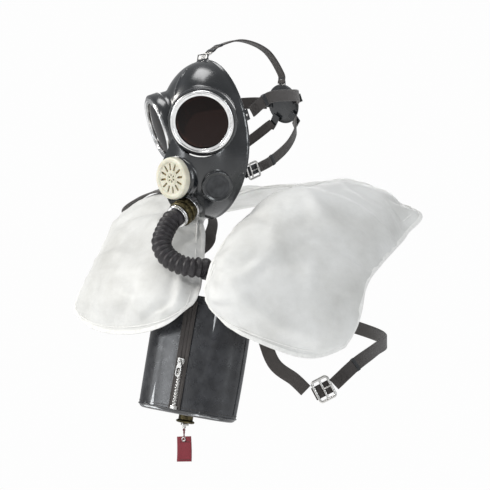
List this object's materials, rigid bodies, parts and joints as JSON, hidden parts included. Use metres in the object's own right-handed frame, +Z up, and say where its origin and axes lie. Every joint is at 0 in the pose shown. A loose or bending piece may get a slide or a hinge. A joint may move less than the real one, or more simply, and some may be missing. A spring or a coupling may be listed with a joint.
{
  "type": "closed-circuit escape breathing set",
  "caption": "Full-face rubber mask with round eye lenses and speech cap, joined by a ribbed hose to a collar breathing bag and a cased chemical oxygen cartridge on a shoulder sling.",
  "frame": {"origin": "centre of the collar bag's neck opening, at the level where the collar rests on the neck", "axes": "+Z up along the wearer's neck, -Y the way the wearer's chest faces, +X the wearer's left"},
  "size_m": [0.4911, 0.3817, 0.6592],
  "materials": {
    "black_rubber": "semi-gloss moulded rubber",
    "hose_rubber": "matt ribbed rubber",
    "rim_metal": "polished aluminium",
    "steel": "nickel-plated steel",
    "brass": "dark oxidised brass",
    "glass": "tinted safety glass",
    "ivory_plastic": "moulded ivory plastic",
    "membrane": "thin amber film or moulding",
    "webbing": "woven webbing",
    "bag_cloth": "rubber-coated cloth",
    "leatherette": "glossy grained leatherette",
    "aluminium": "plain pressed aluminium",
    "granules": "pressed chemical granules",
    "filter_felt": "glass-fibre felt",
    "red_tag": "woven tape"
  },
  "bodies": {
    "bag_and_cartridge": {"manifold": "black_rubber", "corrugated_hose": "hose_rubber", "hose_ring_lower": "rim_metal", "bag_port_ring": "rim_metal", "relief_valve_spring": "steel", "lower_grid": "steel", "upper_grid": "steel", "bed_spring": "steel", "fastener_teeth": "steel", "case_ring_left": "steel", "case_ring_right": "steel", "sling_buckle": "steel", "starter_body": "brass", "starter_charge": "membrane", "chest_strap": "webbing", "shoulder_sling": "webbing", "fastener_tape": "webbing", "breathing_bag": "bag_cloth", "case_body": "leatherette", "relief_valve_seat": "aluminium", "relief_valve_cap": "aluminium", "cartridge_shell": "aluminium", "cartridge_lid": "aluminium", "chemical_bed": "granules", "lower_filter_pad": "filter_felt", "upper_filter_pad": "filter_felt"},
    "mask": {"facepiece": "black_rubber", "face_seal": "black_rubber", "lens_gasket_left": "black_rubber", "lens_gasket_right": "black_rubber", "lens_left": "glass", "lens_right": "glass", "lens_rim_left": "rim_metal", "lens_rim_right": "rim_metal", "speech_housing": "aluminium", "speech_diaphragm": "membrane", "speech_cap": "ivory_plastic", "spout_clamp_ring": "rim_metal", "coupling_nipple": "brass", "hose_ring_upper": "rim_metal", "head_pad": "black_rubber", "forehead_strap": "webbing", "temple_strap_left": "webbing", "temple_strap_right": "webbing", "cheek_strap_left": "webbing", "cheek_strap_right": "webbing", "forehead_buckle": "steel", "cheek_buckle_left": "steel", "cheek_buckle_right": "steel"},
    "coupling_nut": {"coupling_nut": "brass"},
    "cheek_tongue_left": {"cheek_tongue_left": "steel"},
    "cheek_tongue_right": {"cheek_tongue_right": "steel"},
    "relief_disc": {"relief_valve_disc": "membrane"},
    "starter_pull": {"starter_pin": "steel", "starter_cord": "webbing", "pull_tag": "red_tag"},
    "fastener_slider": {"fastener_slider": "steel"},
    "fastener_pull": {"fastener_pull": "steel"},
    "sling_tongue": {"sling_buckle_tongue": "steel"}
  },
  "joints": [
    {"name": "mask_turn", "type": "hinge", "parent": "bag_and_cartridge", "child": "mask", "pos_m": [0, 0, 0], "axis": [0, 0, 1], "range_deg": [-5, 20], "deforming": ["corrugated_hose"]},
    {"name": "coupling_nut_spin", "type": "hinge", "parent": "mask", "child": "coupling_nut", "pos_m": [-0.03467, -0.12901, 0.00198], "axis": [-0.2157, -0.8048, -0.5529], "continuous": true},
    {"name": "cheek_tongue_left_hinge", "type": "hinge", "parent": "mask", "child": "cheek_tongue_left", "pos_m": [0.04218, -0.09368, 0.04768], "axis": [0.1077, 0.402, -0.9093], "range_deg": [0, 110]},
    {"name": "cheek_tongue_right_hinge", "type": "hinge", "parent": "mask", "child": "cheek_tongue_right", "pos_m": [-0.08355, -0.05999, 0.04768], "axis": [-0.1077, -0.402, 0.9093], "range_deg": [0, 110]},
    {"name": "relief_valve_lift", "type": "slide", "parent": "bag_and_cartridge", "child": "relief_disc", "axis": [0.1737, 0.7628, -0.6228], "range_m": [0, 0.003], "stiffness_N_per_m": 30, "springref_m": -0.0015, "deforming": ["relief_valve_spring"]},
    {"name": "starter_pin_pull", "type": "slide", "parent": "bag_and_cartridge", "child": "starter_pull", "axis": [-0.1908, 0, -0.9816], "range_m": [0, 0.03]},
    {"name": "fastener_run", "type": "slide", "parent": "bag_and_cartridge", "child": "fastener_slider", "axis": [0.1908, 0, 0.9816], "range_m": [0, 0.045]},
    {"name": "fastener_pull_flip", "type": "hinge", "parent": "fastener_slider", "child": "fastener_pull", "pos_m": [-0.024, -0.1956, -0.247], "axis": [-0.9816, 0, 0.1908], "range_deg": [0, 150]},
    {"name": "sling_tongue_hinge", "type": "hinge", "parent": "bag_and_cartridge", "child": "sling_tongue", "pos_m": [0.1765, -0.1155, -0.2905], "axis": [0.4137, 0.2069, -0.8866], "range_deg": [0, 120]}
  ]
}
